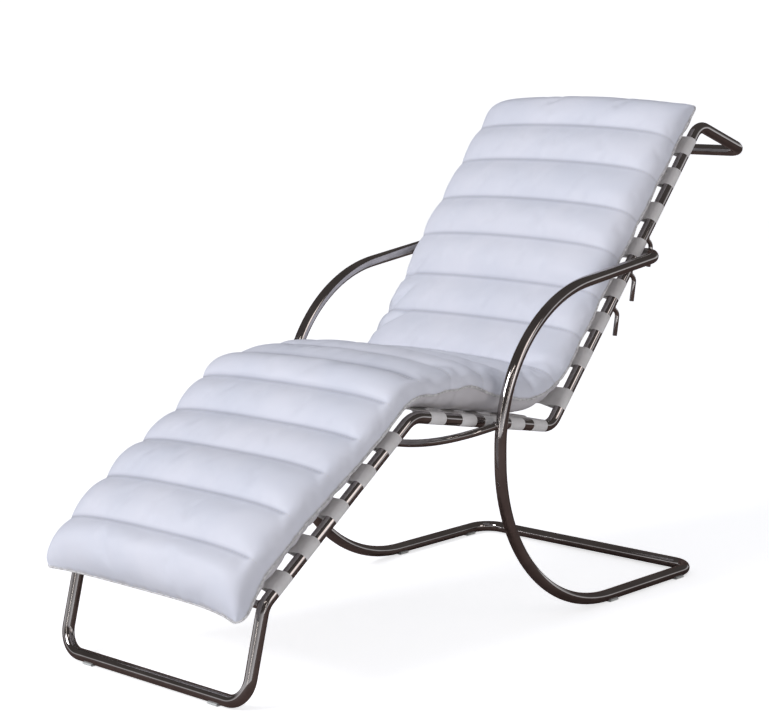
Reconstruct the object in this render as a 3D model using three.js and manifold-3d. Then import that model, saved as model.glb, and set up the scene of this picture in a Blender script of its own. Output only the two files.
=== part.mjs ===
// Adjustable chaise longue in bent steel tube.
// The cantilever base is one closed loop of tube: floor crossbar, floor runners, front sweeps, arms and
// the crossbar behind the back. A longer loop, the lounge frame, stands on its foot bar and hangs by
// hooks on that crossbar. Leather straps span the lounge frame, and a channelled cushion lies on them.
// Millimetres. +Z is up, the foot end points to -Y and +X is the sitter's left.
import * as THREE from "three";
import { mergeVertices } from "three/addons/utils/BufferGeometryUtils.js";
import Module from "manifold-3d";

const wasm = await Module();
wasm.setup();

// Tube, rod and running clearances
const tubeDiameter = 25;
const tubeWall = 2;
const stretcherDiameter = 16;
const footRodDiameter = 16;
const hookDiameter = 10;
const seatGap = 0.3;
const overallWidth = 650;
const railSideGap = 17.5;

// Side view of the lounge frame, corner to corner of the tube's centre line, from the floor up
const footLegLength = 187;
const footLegAngle = 74.5;
const legRailLength = 501;
const legRailAngle = 35.75;
const seatRailLength = 433;
const seatRailAngle = -11.2;
const backRailLength = 800;
const backRailAngle = 49.2;
const handleLength = 192;
const handleAngle = -21;
const footBendRadius = 50;
const ankleBendRadius = 45;
const kneeBendRadius = 55;
const hipBendRadius = 38;
const topBendRadius = 40;
const handleBendRadius = 40;

// Base loop, measured from the centre of the arm crossbar that carries the hooks
const frontReach = 538;
const floorBarReach = 128;
const lowerSweepRadius = 350;
const upperSweepRadius = 320;
const armAngle = 7;
const floorBendRadius = 50;

// Hooks on the back rails: elbow stand-off from the rail's centre line, and the hanging leg
const hookShares = [0.619, 0.504, 0.39];
const hookStandOff = 33;
const hookBendRadius = 14;
const hookLegLength = 50;
const hookLegLean = 11;

// Bowed stretcher between the front sweeps, under the seat
const stretcherForwardBow = 145;
const stretcherDrop = 38;
const stretcherFlatness = 5;

// Straps, each a flat band that loops round both rails and lies doubled beside them
const strapWidth = 45;
const strapThickness = 3;
const strapLoopReach = 52;
const strapTailLength = 34;
const strapSplitDrop = 0.75;
const legStrapShares = [0.107, 0.288, 0.481, 0.667, 0.845];
const seatStrapShares = [0.153, 0.368, 0.53, 0.72, 0.891];
const backStrapShares = [0.083, 0.213, 0.327, 0.436, 0.573, 0.693, 0.812, 0.919];

// Cushion. Shares run along its underside, foot to head.
const cushionSideLap = 12;
const cushionFootOverhang = 57;
const cushionHeadOverhang = 16;
const cushionHipRadius = 210;
const footThickness = 120;
const calfThickness = 90;
const kneeThickness = 93;
const seatThickness = 116;
const hipThickness = 97;
const lumbarThickness = 97;
const shoulderThickness = 119;
const headThickness = 113;
const thicknessShares = [0, 0.13, 0.24, 0.32, 0.4, 0.49, 0.595, 0.68, 0.78, 1];
const channelShares = [
  0.05, 0.114, 0.179, 0.237, 0.293, 0.326, 0.372, 0.428, 0.484, 0.573, 0.648, 0.704, 0.762, 0.819, 0.88,
  0.937,
];
const channelDepth = 18;
const channelSharpness = 2.4;
const rollFullness = 2.8;
const channelFullness = 2;
const crownSteepness = 0.26;
const cushionEndRadius = 45;
const cushionEdgeThickness = 12;
const cushionDrawIn = 6;
const endSeamHeight = 12;
const edgeSeamHeight = 28;
const seatSeamHeight = 50;
const seatSeamShares = [0.33, 0.41, 0.49];

// Joint plugs inside the crossbars, and the glides under the floor tubes
const plugLength = 80;
const glideSole = 2;
const glideWall = 4;
const glideLength = 26;
const glideWrapAngle = 46;
const glideInset = 34;

// Facets
const tubeSides = 16;
const boreSides = 8;
const rodSides = 10;
const hookSides = 8;
const bendStep = 11;
const loopSteps = 8;
const weldReach = 0.003;

// Sizes worked out from the ones above
const tubeRadius = tubeDiameter / 2;
const boreRadius = tubeRadius - tubeWall;
const baseHalf = (overallWidth - tubeDiameter) / 2;
const railHalf = baseHalf - tubeDiameter - railSideGap;
const armBendRadius = baseHalf - railHalf;
const cushionHalf = railHalf + cushionSideLap;
const floorHeight = glideSole + seatGap + tubeRadius;
const strapInner = tubeRadius + seatGap;
const strapOuter = strapInner + strapThickness;

const radians = THREE.MathUtils.degToRad;

// A direction in the side view, as an angle above +Y
function sideDirection(degrees) {
  const angle = radians(degrees);
  return new THREE.Vector3(0, Math.cos(angle), Math.sin(angle));
}

// The same direction turned a quarter turn, to the upper face of a rail
function sideNormal(degrees) {
  const angle = radians(degrees);
  return new THREE.Vector3(0, -Math.sin(angle), Math.cos(angle));
}

function along(point, direction, distance) {
  return point.clone().addScaledVector(direction, distance);
}

function atSide(point, x) {
  return new THREE.Vector3(x, point.y, point.z);
}

// A line of straight runs joined by round bends, as a tube bender makes it
class BentLine {
  constructor(corners, radii) {
    this.pieces = [];
    this.length = 0;
    let start = corners[0].clone();
    for (let i = 1; i < corners.length; i++) {
      const heading = corners[i].clone().sub(corners[i - 1]).normalize();
      const radius = i < corners.length - 1 ? radii[i - 1] : 0;
      if (!radius) {
        this.addRun(start, heading, start.distanceTo(corners[i]));
        start = corners[i].clone();
        continue;
      }
      const next = corners[i + 1].clone().sub(corners[i]).normalize();
      const turn = heading.angleTo(next);
      const setback = radius * Math.tan(turn / 2);
      const bendStart = along(corners[i], heading, -setback);
      this.addRun(start, heading, bendStart.clone().sub(start).dot(heading));
      const inward = next.clone().addScaledVector(heading, -Math.cos(turn)).normalize();
      this.addBend(bendStart, heading, inward, radius, turn);
      start = along(corners[i], next, setback);
    }
  }
  addRun(start, heading, length) {
    this.pieces.push({ start, heading, length, turn: 0, from: this.length });
    this.length += length;
  }
  addBend(start, heading, inward, radius, turn) {
    this.pieces.push({ start, heading, inward, radius, turn, length: radius * turn, from: this.length });
    this.length += radius * turn;
  }
  place(distance) {
    const piece = this.pieces.findLast((p) => distance >= p.from) ?? this.pieces[0];
    const rest = distance - piece.from;
    if (!piece.turn) return { point: along(piece.start, piece.heading, rest), heading: piece.heading.clone() };
    const angle = rest / piece.radius;
    const point = along(piece.start, piece.heading, piece.radius * Math.sin(angle));
    point.addScaledVector(piece.inward, piece.radius * (1 - Math.cos(angle)));
    const heading = piece.heading.clone().multiplyScalar(Math.cos(angle));
    heading.addScaledVector(piece.inward, Math.sin(angle));
    return { point, heading };
  }
  // Distances where a swept section is needed: both ends of every run, and steps round each bend
  stations() {
    const list = [0];
    for (const piece of this.pieces) {
      const steps = Math.max(1, Math.ceil(piece.turn / radians(bendStep)));
      for (let i = 1; i <= steps; i++) list.push(piece.from + (piece.length * i) / steps);
    }
    return list;
  }
  bendMiddle(index) {
    const bends = this.pieces.filter((p) => p.turn);
    return this.place(bends[index].from + bends[index].length / 2).point;
  }
}

// Steps a sweep through chosen distances of a bent line, so straight runs take no extra rings
class StationCurve extends THREE.Curve {
  constructor(line, distances) {
    super();
    this.places = distances.map((d) => line.place(d));
  }
  at(u) {
    return this.places[Math.round(u * (this.places.length - 1))];
  }
  getPoint(u) {
    return this.at(u).point.clone();
  }
  getPointAt(u) {
    return this.at(u).point.clone();
  }
  getTangentAt(u) {
    return this.at(u).heading.clone();
  }
}

// A bow that leaves both ends steeply and runs nearly flat between them
class BowCurve extends THREE.Curve {
  constructor(end, forward, drop) {
    super();
    this.end = end;
    this.forward = forward;
    this.drop = drop;
  }
  getPoint(t) {
    const share = 2 * t - 1;
    const rise = 1 - Math.abs(share) ** stretcherFlatness;
    return new THREE.Vector3(
      this.end.x * share,
      this.end.y - this.forward * rise,
      this.end.z - this.drop * rise,
    );
  }
}

function ringPoints(radius, sides) {
  return Array.from({ length: sides }, (_, i) => {
    const angle = ((i + 0.5) * 2 * Math.PI) / sides;
    return new THREE.Vector2(radius * Math.cos(angle), radius * Math.sin(angle));
  });
}

function sweep(section, path, steps) {
  return new THREE.ExtrudeGeometry(section, { extrudePath: path, steps, bevelEnabled: false });
}

function sweepLine(line, radius, sides, bore = 0) {
  const section = new THREE.Shape(ringPoints(radius, sides));
  if (bore) section.holes.push(new THREE.Path(ringPoints(bore, boreSides)));
  const distances = line.stations();
  return sweep(section, new StationCurve(line, distances), distances.length - 1);
}

function toSolid(geometry) {
  const bare = geometry.clone();
  bare.deleteAttribute("normal");
  bare.deleteAttribute("uv");
  const merged = mergeVertices(bare, weldReach);
  return new wasm.Manifold(
    new wasm.Mesh({
      numProp: 3,
      vertProperties: merged.attributes.position.array,
      triVerts: new Uint32Array(merged.index.array),
    }),
  );
}

function toGeometry(solid) {
  const mesh = solid.getMesh();
  const geometry = new THREE.BufferGeometry();
  geometry.setAttribute("position", new THREE.BufferAttribute(mesh.vertProperties, mesh.numProp));
  geometry.setIndex(new THREE.BufferAttribute(mesh.triVerts, 1));
  return geometry;
}

// Cuts a rod's ends to the round of the tubes that it meets
function cope(geometry, ...cutters) {
  return toGeometry(cutters.reduce((solid, cutter) => solid.subtract(cutter), toSolid(geometry)));
}

const finishes = {
  chrome: { color: 0x8a8580, metalness: 1, roughness: 0.14 },
  cushionLeather: { color: 0xdfe2ea, metalness: 0, roughness: 0.55 },
  strapLeather: { color: 0xcdcac5, metalness: 0, roughness: 0.6 },
  clearPlastic: { color: 0xd9dcd8, metalness: 0, roughness: 0.2 },
};

const chair = new THREE.Group();

function addMesh(name, geometry, finish) {
  const mesh = new THREE.Mesh(geometry, new THREE.MeshStandardMaterial(finishes[finish]));
  mesh.name = name;
  chair.add(mesh);
  return mesh;
}

const sides = [
  { label: "left", sign: 1 },
  { label: "right", sign: -1 },
];

// Lounge frame: corners of the side view, then one bent half on each side, joined in the crossbars
const footCorner = new THREE.Vector3(0, 0, floorHeight);
const ankle = along(footCorner, sideDirection(footLegAngle), footLegLength);
const knee = along(ankle, sideDirection(legRailAngle), legRailLength);
const hip = along(knee, sideDirection(seatRailAngle), seatRailLength);
const backTop = along(hip, sideDirection(backRailAngle), backRailLength);
const handleCorner = along(backTop, sideDirection(handleAngle), handleLength);

function loungeLine(sign) {
  const middle = (sign * seatGap) / 2;
  return new BentLine(
    [
      atSide(footCorner, middle),
      ...[footCorner, ankle, knee, hip, backTop, handleCorner].map((p) => atSide(p, sign * railHalf)),
      atSide(handleCorner, middle),
    ],
    [footBendRadius, ankleBendRadius, kneeBendRadius, hipBendRadius, topBendRadius, handleBendRadius],
  );
}

// The arm crossbar lies in the crook between the strapped back rail and the leg of the top hook
const backDirection = sideDirection(backRailAngle);
const backBehind = sideNormal(backRailAngle).negate();
const hookLegDirection = sideDirection(-90 - hookLegLean);
const crossbarOffset = strapOuter + seatGap + tubeRadius;
const hookElbow = along(along(hip, backDirection, hookShares[0] * backRailLength), backBehind, hookStandOff);
const legAcross = new THREE.Vector3(0, hookLegDirection.z, -hookLegDirection.y);
const crookGap = tubeRadius + hookDiameter / 2 + seatGap;
const standOffShort = crossbarOffset - hookStandOff;
const crookDrop = (crookGap - standOffShort * backBehind.dot(legAcross)) / -backDirection.dot(legAcross);
const armCrossbar = along(along(hookElbow, backBehind, standOffShort), backDirection, -crookDrop);

// Base loop
const frontLine = armCrossbar.y - frontReach;
const armCorner = new THREE.Vector3(
  0,
  frontLine,
  armCrossbar.z - frontReach * Math.tan(radians(armAngle)),
);
const floorBar = new THREE.Vector3(0, armCrossbar.y + floorBarReach, floorHeight);
const sweepCorner = new THREE.Vector3(0, frontLine, floorHeight);

function baseLine(sign) {
  const middle = (sign * seatGap) / 2;
  return new BentLine(
    [
      atSide(floorBar, middle),
      ...[floorBar, sweepCorner, armCorner, armCrossbar].map((p) => atSide(p, sign * baseHalf)),
      atSide(armCrossbar, middle),
    ],
    [floorBendRadius, lowerSweepRadius, upperSweepRadius, armBendRadius],
  );
}

const railCutters = [];
const baseCutters = [];
for (const { label, sign } of sides) {
  const base = baseLine(sign);
  const rail = loungeLine(sign);
  addMesh(`base_tube_${label}`, sweepLine(base, tubeRadius, tubeSides, boreRadius), "chrome");
  addMesh(`lounge_rail_${label}`, sweepLine(rail, tubeRadius, tubeSides, boreRadius), "chrome");
  baseCutters.push(toSolid(sweepLine(base, tubeRadius + seatGap, tubeSides)));
  railCutters.push(toSolid(sweepLine(rail, tubeRadius + seatGap, tubeSides)));
}

// Plugs that join the two halves of each loop inside its crossbars
const plugs = {
  floor_bar_plug: floorBar,
  arm_crossbar_plug: armCrossbar,
  foot_bar_plug: footCorner,
  handle_plug: handleCorner,
};
const plugRadius = boreRadius * Math.cos(Math.PI / boreSides) - seatGap;
for (const [name, centre] of Object.entries(plugs)) {
  const plug = new BentLine([atSide(centre, -plugLength / 2), atSide(centre, plugLength / 2)], []);
  addMesh(name, sweepLine(plug, plugRadius, tubeSides), "chrome");
}

// Bowed stretcher, its ends coped to the front sweeps where these pass the seat rails' height
const stretcherHeight = knee.z + (frontLine - knee.y) * Math.tan(radians(seatRailAngle));
const upperSweepStart = armCorner.z - upperSweepRadius * Math.tan(radians(90 - armAngle) / 2);
const stretcherRise = Math.max(0, stretcherHeight - upperSweepStart);
const sweepBack = upperSweepRadius - Math.sqrt(upperSweepRadius ** 2 - stretcherRise ** 2);
const stretcherEnd = new THREE.Vector3(baseHalf, frontLine + sweepBack, stretcherHeight);
const bow = new BowCurve(stretcherEnd, stretcherForwardBow, stretcherDrop);
const stretcherSection = new THREE.Shape(ringPoints(stretcherDiameter / 2, rodSides));
const stretcherSteps = 26;
addMesh("seat_stretcher", cope(sweep(stretcherSection, bow, stretcherSteps), ...baseCutters), "chrome");

// Rod across the ankles, under the foot end of the cushion
const anklePlace = loungeLine(1).bendMiddle(1);
const footRod = new BentLine([atSide(anklePlace, -railHalf), atSide(anklePlace, railHalf)], []);
addMesh("foot_rod", cope(sweepLine(footRod, footRodDiameter / 2, rodSides), ...railCutters), "chrome");

// Hooks: out of the back rail square to it, over the elbow and down
sides.forEach(({ label, sign }, side) => {
  hookShares.forEach((share, i) => {
    const root = atSide(along(hip, backDirection, share * backRailLength), sign * railHalf);
    const elbow = along(root, backBehind, hookStandOff);
    const tip = along(elbow, hookLegDirection, hookLegLength);
    const hook = sweepLine(new BentLine([root, elbow, tip], [hookBendRadius]), hookDiameter / 2, hookSides);
    addMesh(`hook_${label}_${i + 1}`, cope(hook, railCutters[side]), "chrome");
  });
});

// One strap: a band from rail to rail over their tops, wrapped round each and back under itself.
// The loop's inside is a drop shape, round at the rail and pointed where the band closes on itself.
const apexAngle = Math.atan2(strapInner, strapLoopReach);
const wrapEnd = -Math.PI / 2 - 2 * apexAngle;
const wrapStep = (Math.PI / 2 - wrapEnd) / loopSteps;

function wrapPoints(radius) {
  const reach = radius / Math.cos(wrapStep / 2);
  return Array.from({ length: loopSteps }, (_, i) => {
    const angle = Math.PI / 2 - (i + 0.5) * wrapStep;
    return new THREE.Vector2(railHalf + reach * Math.cos(angle), reach * Math.sin(angle));
  });
}

const mirrored = (points) => points.map((p) => new THREE.Vector2(-p.x, p.y)).reverse();

function strapSection() {
  const tailUnder = strapInner - strapThickness;
  const tangent = new THREE.Vector2(Math.sin(wrapEnd), -Math.cos(wrapEnd));
  const wrapLeaves = new THREE.Vector2(
    railHalf + strapOuter * Math.cos(wrapEnd),
    strapOuter * Math.sin(wrapEnd),
  );
  const reach = (tailUnder - wrapLeaves.y) / tangent.y;
  const tailMeets = wrapLeaves.clone().addScaledVector(tangent, reach);
  const tailEnd = tailMeets.x - strapTailLength;
  const half = [
    ...wrapPoints(strapOuter),
    tailMeets,
    new THREE.Vector2(tailEnd, tailUnder),
    new THREE.Vector2(tailEnd, strapInner),
  ];
  const section = new THREE.Shape([...half, ...mirrored(half)].reverse());
  const closing = new THREE.Vector2(railHalf - strapLoopReach, strapInner - strapSplitDrop);
  const drop = [...wrapPoints(strapInner), closing];
  section.holes.push(new THREE.Path(drop), new THREE.Path(mirrored(drop)));
  return section;
}

const strapBand = new THREE.ExtrudeGeometry(strapSection(), { depth: strapWidth, bevelEnabled: false });
strapBand.translate(0, 0, -strapWidth / 2);

function addStraps(prefix, start, angle, length, shares) {
  const up = sideNormal(angle);
  const lengthways = sideDirection(angle).negate();
  shares.forEach((share, i) => {
    const place = along(start, sideDirection(angle), length * share);
    const turn = new THREE.Matrix4().makeBasis(new THREE.Vector3(1, 0, 0), up, lengthways);
    const strap = addMesh(`${prefix}_strap_${i + 1}`, strapBand.clone(), "strapLeather");
    strap.quaternion.setFromRotationMatrix(turn);
    strap.position.copy(place);
  });
}

addStraps("leg", ankle, legRailAngle, legRailLength, legStrapShares);
addStraps("seat", knee, seatRailAngle, seatRailLength, seatStrapShares);
addStraps("back", hip, backRailAngle, backRailLength, backStrapShares);

// Cushion: its underside follows the straps and bridges the hip in a wide curve
const cushionLift = strapOuter + seatGap;

function liftedCorner(corner, before, after) {
  const bisector = sideNormal((before + after) / 2);
  return along(corner, bisector, cushionLift / Math.cos(radians(after - before) / 2));
}

const cushionFoot = along(ankle, sideNormal(legRailAngle), cushionLift);
const cushionHead = along(backTop, sideNormal(backRailAngle), cushionLift);
const underside = new BentLine(
  [
    along(cushionFoot, sideDirection(legRailAngle), -cushionFootOverhang),
    liftedCorner(knee, legRailAngle, seatRailAngle),
    liftedCorner(hip, seatRailAngle, backRailAngle),
    along(cushionHead, backDirection, cushionHeadOverhang),
  ],
  [kneeBendRadius + cushionLift, cushionHipRadius],
);

// Places of the sewn channels along the underside, foot to head
const channels = channelShares.map((share) => share * underside.length);

// How far a place is drawn down by its nearest channel: 1 on the stitches, 0 on the crown of a roll
function channelPull(distance) {
  const beyondHead = 2 * underside.length - channels.at(-1);
  const marks = [-channels[0], ...channels, beyondHead];
  const next = marks.findIndex((mark) => mark > distance);
  const share = (distance - marks[next - 1]) / (marks[next] - marks[next - 1]);
  return Math.abs(2 * share - 1) ** channelSharpness;
}

// Height of the edge seam, which rises at the sides of the seat
function seamHeight(distance) {
  const [start, top, end] = seatSeamShares.map((share) => share * underside.length);
  const rise = THREE.MathUtils.smoothstep(distance, start, top);
  const fall = THREE.MathUtils.smoothstep(distance, top, end);
  return THREE.MathUtils.lerp(edgeSeamHeight, seatSeamHeight, rise - fall);
}

// Height of the crown: plump at the foot, over the seat and on the back, pressed thin at the knee and hip
const thicknesses = [
  footThickness, footThickness, calfThickness, kneeThickness, seatThickness, seatThickness, hipThickness,
  lumbarThickness, shoulderThickness, headThickness,
];
const crownHeights = thicknesses.map((height, i) => [thicknessShares[i] * underside.length, height]);

function crownHeight(distance) {
  const next = Math.max(1, crownHeights.findIndex(([mark]) => mark >= distance));
  const [from, low] = crownHeights[next - 1];
  const [to, high] = crownHeights[next];
  return THREE.MathUtils.lerp(low, high, THREE.MathUtils.smoothstep(distance, from, to));
}

// 0 at a cushion end, rising round a quarter ellipse to 1
function endShare(distance) {
  const inside = Math.min(distance, underside.length - distance) / cushionEndRadius;
  return Math.sqrt(1 - (1 - Math.min(1, inside)) ** 2);
}

const crownShares = [0.96, 0.83, 0.5, 0, -0.5, -0.83, -0.96];
const undersideShares = [-0.9, 0, 0.9];

function cushionRing(distance) {
  const { point, heading } = underside.place(distance);
  const up = new THREE.Vector3(0, -heading.z, heading.y);
  const end = endShare(distance);
  const pull = channelPull(distance) * end;
  const full = crownHeight(distance);
  const seam = seamHeight(distance);
  const halfWidth = cushionHalf - cushionDrawIn * pull;
  const place = (share, height) => {
    const edgeHeight = endSeamHeight + (cushionEdgeThickness * height) / full;
    return along(atSide(point, share * halfWidth), up, THREE.MathUtils.lerp(edgeHeight, height, end));
  };
  const fullness = THREE.MathUtils.lerp(rollFullness, channelFullness, pull);
  const crown = crownShares.map((share) => {
    const round = (1 - Math.abs(share) ** fullness) ** crownSteepness;
    return place(share, seam + (full - channelDepth * pull - seam) * round);
  });
  return [...undersideShares.map((share) => place(share, 0)), place(1, seam), ...crown, place(-1, seam)];
}

function cushionStations() {
  const list = [];
  const marks = [0, ...channels, underside.length];
  const rollShares = [0, 0.12, 0.34, 0.66, 0.88];
  const endShares = [0, 0.06, 0.22, 0.5, 1];
  for (let i = 0; i < marks.length - 1; i++) {
    for (const share of rollShares) list.push(THREE.MathUtils.lerp(marks[i], marks[i + 1], share));
  }
  const inner = list.filter((d) => d > cushionEndRadius && d < underside.length - cushionEndRadius);
  const foot = endShares.map((share) => share * cushionEndRadius);
  const head = foot.map((d) => underside.length - d).reverse();
  return [...foot, ...inner, ...head];
}

function cushionGeometry() {
  const rings = cushionStations().map(cushionRing);
  const count = rings[0].length;
  const positions = rings.flat().flatMap((p) => [p.x, p.y, p.z]);
  const index = [];
  for (let r = 0; r < rings.length - 1; r++) {
    for (let i = 0; i < count; i++) {
      const a = r * count + i;
      const b = r * count + ((i + 1) % count);
      index.push(a, b + count, b, a, a + count, b + count);
    }
  }
  const last = (rings.length - 1) * count;
  const hub = undersideShares.length + 1 + crownShares.indexOf(0);
  for (let step = 1; step < count - 1; step++) {
    const i = (hub + step) % count;
    const next = (i + 1) % count;
    index.push(hub, i, next);
    index.push(last + hub, last + next, last + i);
  }
  const geometry = new THREE.BufferGeometry();
  geometry.setAttribute("position", new THREE.Float32BufferAttribute(positions, 3));
  geometry.setIndex(index);
  return geometry;
}

addMesh("cushion", cushionGeometry(), "cushionLeather");

// Glides: saddles with a flat sole, clipped under the floor runners and the foot bar
function glideSection() {
  const inner = tubeRadius + seatGap;
  const outer = inner + glideWall;
  const soleAngle = Math.acos(floorHeight / outer);
  const wrap = radians(glideWrapAngle);
  const arc = (radius, from, to) =>
    Array.from({ length: loopSteps + 1 }, (_, i) => {
      const angle = -Math.PI / 2 + THREE.MathUtils.lerp(from, to, i / loopSteps);
      return new THREE.Vector2(radius * Math.cos(angle), radius * Math.sin(angle));
    });
  const clear = inner / Math.cos(wrap / loopSteps);
  const rightSide = arc(outer, soleAngle, wrap);
  return new THREE.Shape([...rightSide, ...arc(clear, wrap, -wrap), ...mirrored(rightSide)]);
}

const glide = new THREE.ExtrudeGeometry(glideSection(), { depth: glideLength, bevelEnabled: false });
glide.translate(0, 0, -glideLength / 2);
glide.rotateX(Math.PI / 2);
const runnerFront = frontLine + lowerSweepRadius;
const runnerRear = floorBar.y - floorBendRadius;
for (const { label, sign } of sides) {
  const front = addMesh(`glide_front_${label}`, glide.clone(), "clearPlastic");
  front.position.set(sign * baseHalf, runnerFront + glideLength / 2, floorHeight);
  const rear = addMesh(`glide_rear_${label}`, glide.clone(), "clearPlastic");
  rear.position.set(sign * baseHalf, runnerRear - glideLength / 2, floorHeight);
  const foot = addMesh(`glide_foot_${label}`, glide.clone(), "clearPlastic");
  foot.rotation.z = Math.PI / 2;
  const footPlace = railHalf - footBendRadius - glideInset;
  foot.position.set(sign * footPlace, footCorner.y, floorHeight);
}

// The origin is on the floor, under the middle of the chair's bounding box
const extent = new THREE.Box3().setFromObject(chair);
const centre = extent.getCenter(new THREE.Vector3());
chair.position.set(0, -centre.y, 0);

export default chair;
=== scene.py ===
import math

import bmesh
import bpy
from mathutils import Matrix, Vector, noise


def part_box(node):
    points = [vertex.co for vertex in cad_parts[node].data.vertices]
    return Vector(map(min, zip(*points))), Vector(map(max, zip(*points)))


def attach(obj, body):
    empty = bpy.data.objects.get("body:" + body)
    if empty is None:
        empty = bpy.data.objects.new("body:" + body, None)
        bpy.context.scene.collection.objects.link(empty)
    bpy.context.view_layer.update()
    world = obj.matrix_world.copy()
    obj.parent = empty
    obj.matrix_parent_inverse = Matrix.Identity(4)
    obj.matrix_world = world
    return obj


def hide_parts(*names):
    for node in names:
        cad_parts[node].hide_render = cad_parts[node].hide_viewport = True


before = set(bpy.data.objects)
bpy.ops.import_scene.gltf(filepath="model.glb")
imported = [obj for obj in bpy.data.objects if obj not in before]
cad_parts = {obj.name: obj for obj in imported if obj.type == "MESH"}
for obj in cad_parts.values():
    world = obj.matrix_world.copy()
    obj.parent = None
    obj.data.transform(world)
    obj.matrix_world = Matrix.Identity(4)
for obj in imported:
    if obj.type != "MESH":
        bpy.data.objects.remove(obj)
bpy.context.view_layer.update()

# The camera stands off the foot end, on the sitter's left, a little above the arms, with a long
# lens. Its place and turn are the ones worked out from the chair's own straight tubes.
picture_width = 769
focal_pixels = 2100.19
film_width = 36.0
camera_place = Vector((3.0316, -3.2540, 1.2628))
camera_azimuth = 0.767484
camera_height_angle = 0.164146
camera_roll = -0.0171142


def pose_at(place, x_axis, y_axis, z_axis):
    """A pose at a place, from the headings of its axes."""
    return Matrix.Translation(place) @ Matrix((x_axis, y_axis, z_axis)).transposed().to_4x4()


camera_data = bpy.data.cameras.new("photo_camera")
camera_data.sensor_fit = "HORIZONTAL"
camera_data.sensor_width = film_width
camera_data.lens = focal_pixels * film_width / picture_width
camera = bpy.data.objects.new("photo_camera", camera_data)
bpy.context.scene.collection.objects.link(camera)
camera_back = Vector((
    math.sin(camera_azimuth) * math.cos(camera_height_angle),
    -math.cos(camera_azimuth) * math.cos(camera_height_angle),
    math.sin(camera_height_angle),
))
level_right = Vector((0, 0, 1)).cross(camera_back).normalized()
level_up = camera_back.cross(level_right)
camera_right = level_right * math.cos(camera_roll) + level_up * math.sin(camera_roll)
camera_up = camera_back.cross(camera_right)
camera.matrix_world = pose_at(camera_place, camera_right, camera_up, camera_back)
bpy.context.scene.camera = camera
bpy.context.scene.view_settings.view_transform = "Standard"


# The floor is a sheet of matt white paper that curves up behind the chair into a backdrop. Seen by
# the camera it is lifted to white and keeps the chair's shadow. In mirror reflections alone it is
# brown, which warms the polished tubes.
def linear(hex_code):
    """The linear colour, with alpha 1, of an sRGB hex value such as "e4e6ec"."""
    parts = [int(hex_code[i:i + 2], 16) / 255 for i in (0, 2, 4)]
    return [p / 12.92 if p <= 0.04045 else ((p + 0.055) / 1.055) ** 2.4 for p in parts] + [1.0]


def new_material(name):
    material = bpy.data.materials.new(name)
    material.use_nodes = True
    return material


def add_node(material, kind, inputs=None, **settings):
    """Adds one node: settings are its own values, inputs are constants or another node's output."""
    made = material.node_tree.nodes.new(kind)
    for name, value in settings.items():
        setattr(made, name, value)
    for name, value in (inputs or {}).items():
        socket = made.inputs[name]
        if name in ("A", "B", "Factor"):
            socket = [i for i in made.inputs if i.name == name and i.enabled][0]
        if isinstance(value, bpy.types.NodeSocket):
            material.node_tree.links.new(value, socket)
        else:
            socket.default_value = value
    return made


def mixed(node):
    """The output that a Mix node uses."""
    return [o for o in node.outputs if o.enabled][0]


def edges_of(geometry):
    return [g for g in geometry if isinstance(g, bmesh.types.BMEdge)]


def verts_of(geometry):
    return [g for g in geometry if isinstance(g, bmesh.types.BMVert)]


def draw_out(bm, ring, move):
    """Draws edges out by a move, a matrix, and gives the edges at the far side."""
    out = bmesh.ops.extrude_edge_only(bm, edges=ring)["geom"]
    bmesh.ops.transform(bm, verts=verts_of(out), matrix=move)
    ends = set(verts_of(out))
    return [e for e in edges_of(out) if all(v in ends for v in e.verts)]


def new_piece(name, mesh_builder, material):
    """Turns a bmesh into a smooth-shaded object at the origin."""
    mesh = bpy.data.meshes.new(name)
    mesh_builder.to_mesh(mesh)
    mesh_builder.free()
    mesh.materials.append(material)
    mesh.shade_smooth()
    piece = bpy.data.objects.new(name, mesh)
    bpy.context.scene.collection.objects.link(piece)
    return piece


floor_half = 9.0
cove_radius = 3.0
cove_steps = 24
backdrop_height = 5.0
camera_lift = 0.66

paper = new_material("matt_white_paper")
paper_shader = paper.node_tree.nodes["Principled BSDF"]
paper_shader.inputs["Roughness"].default_value = 0.9
seen_by = add_node(paper, "ShaderNodeLightPath")
floor_colour = add_node(paper, "ShaderNodeMix", {
    "Factor": seen_by.outputs["Is Glossy Ray"], "A": linear("f2f2f2"), "B": linear("75625a"),
}, data_type="RGBA")
paper.node_tree.links.new(mixed(floor_colour), paper_shader.inputs["Base Color"])
lift = add_node(paper, "ShaderNodeMath", {
    0: seen_by.outputs["Is Camera Ray"], 1: camera_lift,
}, operation="MULTIPLY")
paper.node_tree.links.new(lift.outputs[0], paper_shader.inputs["Emission Strength"])
paper_shader.inputs["Emission Color"].default_value = linear("ffffff")

bm = bmesh.new()
bmesh.ops.create_grid(bm, x_segments=1, y_segments=1, size=floor_half)
back_edge = [e for e in bm.edges if all(v.co.y > floor_half - 0.001 for v in e.verts)]
cove = bmesh.ops.spin(
    bm, geom=back_edge, cent=(0, floor_half, cove_radius), axis=(1, 0, 0),
    angle=math.pi / 2, steps=cove_steps,
)["geom_last"]
draw_out(bm, edges_of(cove), Matrix.Translation((0, 0, backdrop_height)))
facing = Matrix.Rotation(camera_azimuth, 3, "Z")
bmesh.ops.rotate(bm, verts=bm.verts, cent=(0, 0, 0), matrix=facing)
bmesh.ops.recalc_face_normals(bm, faces=bm.faces)
floor = new_piece("paper_sweep", bm, paper)

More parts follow.
